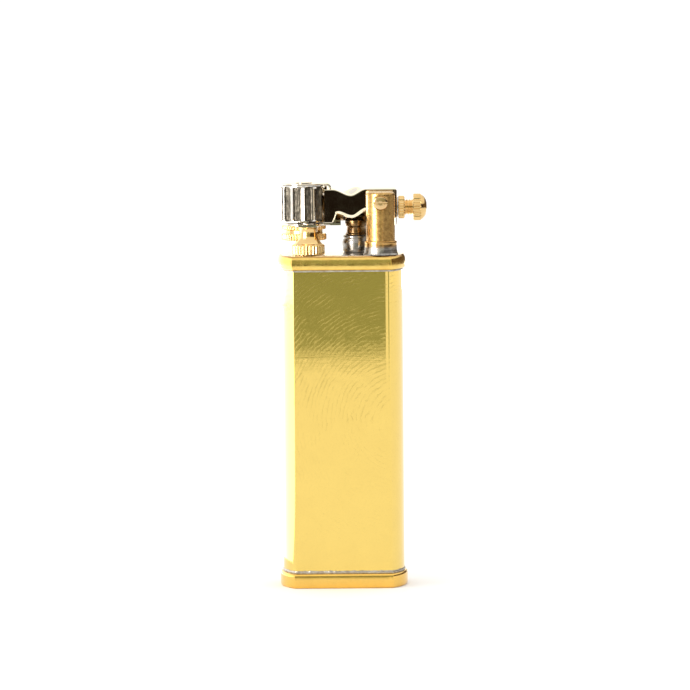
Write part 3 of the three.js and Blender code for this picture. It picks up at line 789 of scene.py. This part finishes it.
def make_arm():
    stations = [-3.3 + 0.12 * i for i in range(12)] + [-1.9 + 0.06 * i for i in range(20)]
    stations += [-0.7 + 0.12 * i for i in range(93)]
    stations += [END_X - 0.5 + 0.49 * math.sin(math.radians(a)) for a in range(8, 91, 8)]
    stations = sorted(set(round(x, 4) for x in stations))
    channel = loft([arm_section(x) for x in stations])
    new_object("arm_channel", *channel, CHROME, "arm", ["lift_arm"])
    outline = [(END_X - 0.55, 72.65), (END_X - 0.03, 72.65), (END_X - 0.03, 77.75), (END_X - 0.3, 78.1),
               (END_X - 0.55, 78.2)]
    plate = new_object("arm_end", *prism(outline, FRONT_Y + 0.3, BACK_Y - 0.3, "Y"), CHROME, "arm")
    cut(plate, rod(1.6, 8, 12, 48, FLINT_AT, "X"))
    round_edges(plate, 0.06)


def make_ear():
    """Round ear over the wheel with the rolled bend down to the channel."""
    r, half, roll_x = 4.45, 3.0, -2.8
    y0, y1 = WHEEL.y - half, WHEEL.y + half
    start = math.degrees(math.asin(half / r))
    outline = [(-2.7, y0), (-2.7, y1)] + arc(WHEEL.x, WHEEL.y, r, start, 360 - start, 80)
    ear = new_object("wheel_ear", *prism(outline, *EAR_Z), CHROME, "arm")
    cut(ear, rod(ARBOR_R, 70, 90, 32, WHEEL_AT))
    round_edges(ear, 0.07, 3)
    bend = arc(roll_x, ROLL_Z, 0.85, 0, 180, 18) + arc(roll_x, ROLL_Z, 0.4, 180, 0, 12)
    for part in (prism(bend, y0 + 0.1, y1 - 0.1, "Y"),
                 block(-2.5, -1.97, y0 + 0.05, y1 - 0.05, ARM_TOP - 0.25, ROLL_Z + 0.05)):
        round_edges(new_object("rolled_bend", *part, CHROME, "arm"), 0.17, 4)


def make_lip():
    """Flared lip along the belly of the front cheek, thinning out down the gusset."""
    knee, belly, crest = (-0.93, 73.88), (2.1, 73.0), (5.1, 74.5)
    path = [(-1.72, 71.95), (-1.5, 72.4), (-1.25, 73.05), (-1.05, 73.6), knee]
    path += ease_points(*knee, *belly, 16) + ease_points(*belly, *crest, 16)
    section = [(0.3, 0.3), (-0.02, 0.3), (-0.06, 0.24), (-0.13, 0.16), (-0.24, 0.06), (-0.36, -0.03),
               (-0.4, -0.1), (-0.38, -0.2), (-0.28, -0.27), (-0.1, -0.3), (0.3, -0.3)]
    loops = []
    for i, (x, z) in enumerate(path):
        a, b = path[max(0, i - 1)], path[min(len(path) - 1, i + 1)]
        tangent = Vector((b[0] - a[0], b[1] - a[1])).normalized()
        normal = Vector((-tangent.y, tangent.x))
        size = 0.35 + 0.65 * smoothstep(-1.3, -0.3, x)
        loops.append([(x + normal.x * v * size, FRONT_Y + u * size, z + normal.y * v * size)
                      for u, v in section])
    # The lip's pale cream metal is a painted highlight.
    new_object("belly_lip", *loft(loops), LIP_HIGHLIGHT_METAL, "arm")


def make_lower_plate():
    x0, x1, front, r, big = -9.1, -4.2, PLATE_LOW.y, 0.7, 4.2
    outline = arc(x0 + r, front + r, r, 180, 270, 8) + arc(x1 - r, front + r, r, 270, 360, 8)
    outline += [(x1, FRONT_Y - 0.3), (-3.4, FRONT_Y), (-0.1, FRONT_Y), (-0.1, BACK_Y),
                (WHEEL.x + 2.8, BACK_Y)]
    outline += arc(WHEEL.x, WHEEL.y, big, 48, 222, 40) + [(x0, WHEEL.y - big)]
    flat = prism(outline, PLATE_LOW.z, PLATE_HIGH.z)
    plate = new_object("under_plate", *flat, CHROME, "arm", ["lower_plate"])
    cut(plate, rod(ARBOR_R, 60, 80, 32, WHEEL_AT), rod(0.78, 60, 80, 32, (BELL.x, BELL.y, 0)))
    round_edges(plate, 0.04)


make_arm()
make_ear()
make_lip()
make_lower_plate()


# ---- post, pivot and pillar


def make_post():
    low, top, r = POST_LOW.z, POST_HIGH.z, POST_R
    at, pivot_at = (POST.x, POST.y, 0), (PIVOT.x, POST.y, PIVOT.z)
    shape = [[0, low], [1.25, low], [1.25, TOP_Z + 0.05], [r, TOP_Z + 0.05], [r, top - 0.55],
             [r - 0.06, top - 0.32], [r - 0.2, top - 0.14], [r - 0.5, top], [0, top]]
    post = turned("post", softened(shape, 0.06), POST_BRASS, "case", "hinge_post", at, 128)
    cut(post, rod(1.43, -4.0, -2.1, 64, pivot_at, "Y"), rod(1.05, -4.0, 4.0, 48, pivot_at, "Y"))
    round_edges(post, 0.05, 2, 50)

    low, high = node_box("post_collar")
    inner, r = POST_R + 0.03, 3.2
    shape = [[inner, low.z], [r + 0.3, low.z], [r + 0.12, low.z + 0.3], [r + 0.02, low.z + 0.9],
             [r, low.z + 1.3], [r, high.z - 0.2], [r - 0.08, high.z - 0.06], [r - 0.22, high.z],
             [inner, high.z - 0.02], [inner, low.z]]

    def uneven(a, q, z):
        if q <= r - 0.1:
            return q
        return q + 0.03 * noise.noise(Vector((math.cos(a) * 2, math.sin(a) * 2, z * 1.6)))

    turned("post_foot_collar", dense(shape, 0.18), COLLAR, "case", "post_collar", at, 128, radius=uneven)

    low, high = node_box("pivot_screw")
    front, back = low.y, high.y
    shape = [[0, front], [0.5, front + 0.01], [0.9, front + 0.045], [1.2, front + 0.1], [1.36, front + 0.15],
             [1.41, front + 0.22], [1.42, front + 0.3], [1.42, front + 0.58], [1.0, front + 0.58],
             [1.0, back - 0.73], [0.7, back - 0.73], [0.7, back], [0, back]]
    screw = turned("pivot_screw_slotted", shape, SCREW_BRASS, "case", "pivot_screw", PIVOT_AT, 72, "Y")
    cut(screw, block(PIVOT.x - 2, PIVOT.x + 2, front - 1, front + 0.3, PIVOT.z - 0.16, PIVOT.z + 0.16))
    round_edges(screw, 0.03)


def make_pillar():
    low, high = node_box("rest_pillar")
    top, r, neck, at = high.z, 2.2, 1.95, (PILLAR.x, PILLAR.y, 0)
    shape = [[0, low.z], [1.0, low.z], [1.0, 69.25], [r, 69.25], [r, 69.48], [r - 0.2, 69.66], [neck, 69.8],
             [neck, 70.7], [r - 0.16, 70.92], [r, 71.05], [r, top - 0.75], [r - 0.5, top], [0, top]]
    # The pillar's very dark brass is partly painted shade.
    turned("pillar", softened(shape, 0.07), PILLAR_BRASS_TARNISH_AND_SHADE, "case", "rest_pillar", at, 96)
    z, bore = TOP_Z, 1.05
    shape = [[bore, z], [2.48, z], [2.66, z + 0.3], [2.8, z + 0.75], [2.85, z + 1.3], [2.82, z + 1.9],
             [2.7, z + 2.35], [2.58, z + 2.62], [2.55, z + 2.74], [2.63, z + 2.84], [2.66, z + 3.05],
             [2.62, z + 3.3], [2.46, z + 3.4], [bore, z + 3.4], [bore, z]]
    turned("pillar_foot_socket", softened(shape, 0.1), DARK_CHROME, "case", "pillar_socket", at, 96)


def hex_nut(node, at, corner, bore, material, body, axis="Z"):
    """A hexagonal nut with its corners turned down, as thick as its CAD node."""
    low, high = (end["XYZ".index(axis)] for end in node_box(node))
    corners = [(corner * math.cos(TAU * k / 6), corner * math.sin(TAU * k / 6)) for k in range(6)]
    verts, faces = prism(corners, low, high)
    if axis == "Y":
        verts = [(x, z, -y) for x, y, z in verts]
    verts = [tuple(c + o for c, o in zip(v, at)) for v in verts]
    nut = new_object(node.replace("_", "_hex_"), verts, faces, material, body, [node])
    cut(nut, rod(bore, low - 1, high + 1, 36, at, axis))
    round_edges(nut, 0.09)


make_post()
make_pillar()
hex_nut("post_nut", (POST.x, POST.y, 0), 2.05, 1.3, OLD_BRASS, "case")
hex_nut("pillar_nut", (PILLAR.x, PILLAR.y, 0), 1.9, 1.05, OLD_BRASS, "case")
hex_nut("arbor_nut", WHEEL_AT, 1.7, 0.84, KNURL_BRASS, "striker")
hex_nut("pivot_nut", PIVOT_AT, 1.35, 0.74, OLD_BRASS, "case", "Y")



# ---- flint feed


def make_flint_feed():
    low, high = node_box("flint_tube")
    x0, x1 = low.x, high.x
    shape = [[1.27, x0], [1.65, x0], [1.65, -1.2], [2.5, -1.2], [2.5, 0.4], [1.65, 0.4], [1.65, 8.9],
             [2.3, 8.9], [2.3, x1], [1.6, x1], [1.6, 6.7], [1.27, 6.7], [1.27, x0]]
    turned("flint_barrel", softened(shape, 0.09), OLD_BRASS, "arm", "flint_tube", FLINT_AT, 96, "X")

    low, high = node_box("flint_screw")
    tip, dome = low.x, high.x
    head0, head1, r, head_r, pitch = 14.25, 15.7, 1.55, 2.65, 0.5

    def cutting(angle, q, x):
        if q > 2.0:
            mask = smoothstep(head0, head0 + 0.14, x) * (1 - smoothstep(head1 - 0.1, head1 + 0.12, x))
            return q - 0.24 * mask * tooth(angle, 22)
        if 1.3 < q and tip + 0.3 < x < head0 - 0.1:
            return q - 0.2 * thread(angle, x, pitch)
        return q

    shape = [[0, tip], [r - 0.2, tip], [r, tip + 0.2], [r, head0], [head_r - 0.14, head0],
             [head_r, head0 + 0.12], [head_r, head1 - 0.1], [head_r - 0.14, head1 + 0.08],
             [2.3, head1 + 0.42], [1.95, head1 + 0.75], [1.5, dome - 0.22], [0.9, dome - 0.06], [0, dome]]
    turned("flint_thumb_screw", dense(shape, 0.062), KNURL_BRASS, "flint_feed", "flint_screw", FLINT_AT, 264,
           "X", cutting)

    low, high = node_box("lock_nut")
    a, b, r = low.x, high.x, 2.25
    shape = [[1.6, a], [r - 0.16, a], [r, a + 0.16], [r, b - 0.2], [r - 0.24, b], [1.6, b], [1.6, a]]
    knurl = straight_knurl(22, 0.2, [(a, b, 2.0)], 0.14)
    turned("knurled_lock_nut", dense(shape, 0.08), KNURL_BRASS, "lock_nut", "lock_nut", FLINT_AT, 264, "X",
           knurl)

    low, high = node_box("lock_washer")
    shape = [[1.6, low.x], [2.0, low.x], [2.0, high.x], [1.6, high.x], [1.6, low.x]]
    turned("thin_washer", softened(shape, 0.04), STEEL, "lock_washer", "lock_washer", FLINT_AT, 64, "X")

    low, high = node_box("flint")
    shape = [[0, low.x], [1.12, low.x], [1.2, low.x + 0.08], [1.2, high.x - 0.08], [1.12, high.x],
             [0, high.x]]
    turned("flint_rod", shape, FLINT, "arm", "flint", FLINT_AT, 48, "X")

    low, high = node_box("flint_spring")
    wire, turns, mean = 0.14, 6, 0.9
    steps = turns * 24
    along = Vector((1, 0, 0))
    loops = []
    for i in range(steps + 1):
        a = TAU * turns * i / steps
        x = low.x + wire + (high.x - low.x - 2 * wire) * i / steps
        out = Vector((0, math.cos(a), math.sin(a)))
        middle = Vector((x, FLINT_AXIS.y, FLINT_AXIS.z)) + out * mean
        ring = [TAU * k / 8 for k in range(8)]
        loops.append([tuple(middle + (out * math.cos(w) + along * math.sin(w)) * wire) for w in ring])
    new_object("coil_spring", *loft(loops), STEEL, "arm", ["flint_spring"])

    low, high = node_box("flint_pusher")
    a, b = low.x, high.x
    shape = [[0, a], [0.52, a], [0.6, a + 0.08], [0.6, a + 1.0], [1.2, a + 1.0], [1.2, b], [0, b]]
    turned("spring_cup", softened(shape, 0.04), KNURL_BRASS, "pusher", "flint_pusher", FLINT_AT, 48, "X")


make_flint_feed()


# ---- filler, wick and bush


def make_filler():
    at = (FILLER.x, 0, 0)
    low, high = node_box("filler_bush")
    shape = [[3.35, low.z], [4.0, low.z], [4.0, 1.25], [4.9, 1.25], [4.9, 2.2], [4.0, 2.2], [4.0, high.z],
             [2.8, high.z], [2.8, 1.1], [3.35, 1.1], [3.35, low.z]]
    turned("filler_seat", softened(shape, 0.06), BAND_BRASS, "case", "filler_bush", at, 96)

    low, high = node_box("filler_screw")
    pitch = 0.75

    def cutting(angle, q, z):
        if 2.6 < q < 2.8 and 1.0 < z < high.z - 0.2:
            return q - 0.28 * thread(angle, z, pitch)
        return q

    shape = [[0, low.z], [3.12, low.z], [3.24, low.z + 0.04], [3.3, low.z + 0.14], [3.3, 0.75], [2.75, 0.75],
             [2.75, high.z - 0.3], [2.45, high.z], [0, high.z]]
    screw = turned("coin_slot_screw", dense(shape, 0.09), BAND_BRASS, "filler_screw", "filler_screw", at, 144,
                   radius=cutting)
    cut(screw, block(FILLER.x - 4, FILLER.x + 4, -0.45, 0.45, -1, 0.5))
    low, high = node_box("filler_gasket")
    shape = [[2.8, low.z], [3.3, low.z], [3.3, high.z], [2.8, high.z], [2.8, low.z]]
    turned("sealing_ring", softened(shape, 0.1), RUBBER, "filler_gasket", "filler_gasket", at, 72)


def make_wick():
    low, high = node_box("wick_tube")
    shape = [[0.93, low.z], [2.1, low.z], [2.1, low.z + 0.8], [1.3, low.z + 0.8], [1.3, high.z - 0.08],
             [1.22, high.z], [0.98, high.z], [0.93, high.z - 0.05], [0.93, low.z]]
    turned("wick_sleeve", softened(shape, 0.04), OLD_BRASS, "case", "wick_tube", (WICK.x, WICK.y, 0), 64)
    low, high = node_box("wick")
    strands, parts, rows = 7, [], 90
    for s in range(strands):
        loops = []
        off = 0.0 if s == 0 else 0.58
        for i in range(rows + 1):
            z = low.z + (high.z - low.z) * i / rows
            turn = TAU * s / (strands - 1) + z * 0.55
            fray = smoothstep(high.z - 1.0, high.z, z)
            spread = off * (1 + 0.12 * fray)
            size = 0.29 * (1 - 0.35 * fray) + 0.02 * noise.noise(Vector((s, z * 3, 0)))
            cx, cy = WICK.x + spread * math.cos(turn), WICK.y + spread * math.sin(turn)
            top = z - 0.3 * fray * (0.5 + 0.5 * noise.noise(Vector((s * 5.1, 0, 3))))
            ring = [TAU * k / 8 for k in range(8)]
            loops.append([(cx + size * math.cos(a), cy + size * math.sin(a), top) for a in ring])
        parts.append(loft(loops))
    new_object("twisted_wick", *join_parts(parts), COTTON, "case", ["wick"])


def make_bush():
    low, high = node_box("pivot_bush")
    shape = [[1.05, low.y], [1.55, low.y], [1.55, low.y + 0.45], [1.3, low.y + 0.45], [1.3, high.y],
             [1.05, high.y], [1.05, low.y]]
    turned("flanged_bush", softened(shape, 0.05), OLD_BRASS, "arm", "pivot_bush", PIVOT_AT, 64, "Y")


make_filler()
make_wick()
make_bush()

for name, material in {"cotton_wadding": COTTON, "snuffer_felt": FELT}.items():
    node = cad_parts[name]
    node.data.materials.clear()
    node.data.materials.append(material)


# ---- stage, light and camera


def stage_mesh(name, verts, faces, material):
    mesh = bpy.data.meshes.new(name)
    mesh.from_pydata(verts, [], faces)
    mesh.materials.append(material)
    obj = linked(name, mesh)
    return obj


def glow(name, colour, strength):
    material = bpy.data.materials.new(name)
    material.use_nodes = True
    nodes = material.node_tree.nodes
    nodes.clear()
    out = nodes.new("ShaderNodeOutputMaterial")
    light = nodes.new("ShaderNodeEmission")
    light.inputs["Color"].default_value = (*colour, 1)
    light.inputs["Strength"].default_value = strength
    material.node_tree.links.new(light.outputs[0], out.inputs["Surface"])
    return material


def card(name, a0, a1, near, far, material, steps=24):
    """A studio card that shows only as a reflection, bent round the lighter between two angles.

    The angles run from the front towards +X. Near and far are the (radius, height) of its long edges.
    """
    verts = []
    for i in range(steps + 1):
        a = math.radians(a0 + (a1 - a0) * i / steps)
        verts += [(r * math.sin(a), -r * math.cos(a), z) for r, z in (near, far)]
    faces = [(2 * i, 2 * i + 2, 2 * i + 3, 2 * i + 1) for i in range(steps)]
    obj = stage_mesh(name, verts, faces, material)
    for ray in ("camera", "diffuse", "transmission", "volume_scatter", "shadow"):
        setattr(obj, "visible_" + ray, False)


def make_stage():
    paper = Nodes("pale_paper")
    tone = paper.ramp(paper.noise(60, 4, 0.5), "Fac", [(0.3, (0.93, 0.93, 0.93)), (0.7, (0.95, 0.95, 0.95))])
    paper.base_colour(tone, "Color")
    paper.set(paper.shader, Roughness=0.9, Specular_IOR_Level=0.1)
    s = 9.0
    stage_mesh("floor", [(-s, -s, 0), (s, -s, 0), (s, s, 0), (-s, s, 0)], [(0, 1, 2, 3)], paper.material)
    olive = glow("dim_room", (0.385, 0.435, 0.3), 1.0)
    black = glow("dark_room", (0.016, 0.01, 0.006), 1.0)
    dark_side = glow("dark_room_side", (0.04, 0.027, 0.017), 1.0)
    middle = glow("middle_grey_room", (0.85, 0.7, 0.48), 1.0)
    # Upright cards: name, first and last angle, distance, lower and upper edge, material.
    for name, a0, a1, r, z0, z1, material in [
        ("card_dim", -5.5, 5, 0.5, 0.0013, 0.034, olive),
        ("card_dark_front", -9, 9, 0.5, 0.034, 0.06, black),
        ("card_dim_front_high", -9, 9, 0.5, 0.06, 0.08, olive),
        ("card_middle_left", -15, -9, 0.5, 0.03, 0.08, middle),
        ("card_middle_right", 9, 20, 0.5, 0.03, 0.08, middle),
        ("card_dark_gap", 20, 24, 0.5, 0.039, 0.26, dark_side),
        ("card_thin", 20, 24, 0.5, 0.029, 0.039, glow("thin_light", (1, 0.95, 0.85), 3.0)),
        ("card_dim_front", -15, 20, 0.5, 0.08, 0.26, olive),
        ("card_dark_side", 24, 80, 0.5, 0.0295, 0.26, dark_side),
        ("card_dark_right", 80, 168, 0.69, 0.0168, 0.26, glow("dim_side", (0.15, 0.105, 0.065), 1.0)),
        ("card_grey", -30, -15, 0.5, 0.03, 0.26, glow("grey_room", (0.7, 0.62, 0.5), 1.0)),
        ("card_window", -62, -34, 0.55, 0.01, 0.4, glow("window_light", (1, 0.99, 0.97), 16.0)),
        ("card_back_left", -170, -100, 0.7, 0.0005, 0.0168, glow("back_light", (1, 1, 0.99), 4.8)),
        ("card_back_left_high", -170, -100, 0.7, 0.0168, 0.4, glow("back_light_high", (1, 0.98, 0.94), 1.9)),
        ("card_back_right", 160, 170, 0.7, 0.005, 0.0168, glow("back_light_right", (1, 1, 0.99), 9.0)),
        ("card_right", 100, 158, 0.7, 0.005, 0.0168, glow("side_light", (1, 0.97, 0.9), 1.25)),
        ("card_top_back", 168, 192, 0.69, 0.085, 0.3, glow("cream_wall", (1.6, 1.45, 1.1), 1.0)),
    ]:
        card(name, a0, a1, (r, z0), (r, z1), material)
    floor_glow = glow("bright_floor", (1, 1, 0.98), 3.2)
    card("card_floor_left", -170, -100, (0.045, 0.0004), (0.68, 0.0004), floor_glow)


def area(name, location, size, power):
    """A rectangular light that faces the lighter."""
    light = bpy.data.lights.new(name, "AREA")
    light.shape = "RECTANGLE"
    light.size, light.size_y = size
    light.energy = power
    obj = linked(name, light)
    obj.location = location
    obj.rotation_mode = "QUATERNION"
    obj.rotation_quaternion = (Vector((0, 0, 0.04)) - Vector(location)).to_track_quat("-Z", "Y")


def make_lights():
    world = bpy.data.worlds.new("studio")
    bpy.context.scene.world = world
    world.use_nodes = True
    background = world.node_tree.nodes["Background"]
    background.inputs["Color"].default_value = (1, 1, 1, 1)
    background.inputs["Strength"].default_value = 1.16
    area("softbox_left", (-1.1, -0.7, 0.7), (0.7, 0.9), 2.5)
    area("softbox_top", (0.0, 0.3, 1.5), (1.2, 0.9), 1.5)


def make_camera():
    """A long lens from the front, a little above the lighter and turned by a hair."""
    distance, height, across = 1.05, 0.1407, 0.00052
    pitch, roll = math.radians(5.07), math.radians(0.485)
    forward = Vector((0, math.cos(pitch), -math.sin(pitch)))
    level, upright = Vector((1, 0, 0)), Vector((0, math.sin(pitch), math.cos(pitch)))
    right = level * math.cos(roll) - upright * math.sin(roll)
    up = level * math.sin(roll) + upright * math.cos(roll)
    turn = Matrix((right, up, -forward)).transposed()
    data = bpy.data.cameras.new("camera")
    data.sensor_width = 36.0
    data.lens = 278.0
    data.clip_start, data.clip_end = 0.01, 60.0
    camera = linked("camera", data)
    camera.matrix_world = Matrix.Translation((across, -distance, height)) @ turn.to_4x4()
    bpy.context.scene.camera = camera


smooth_all()
make_stage()
make_lights()
make_camera()
bpy.context.scene.view_settings.view_transform = "Standard"
bpy.context.scene.view_settings.look = "None"
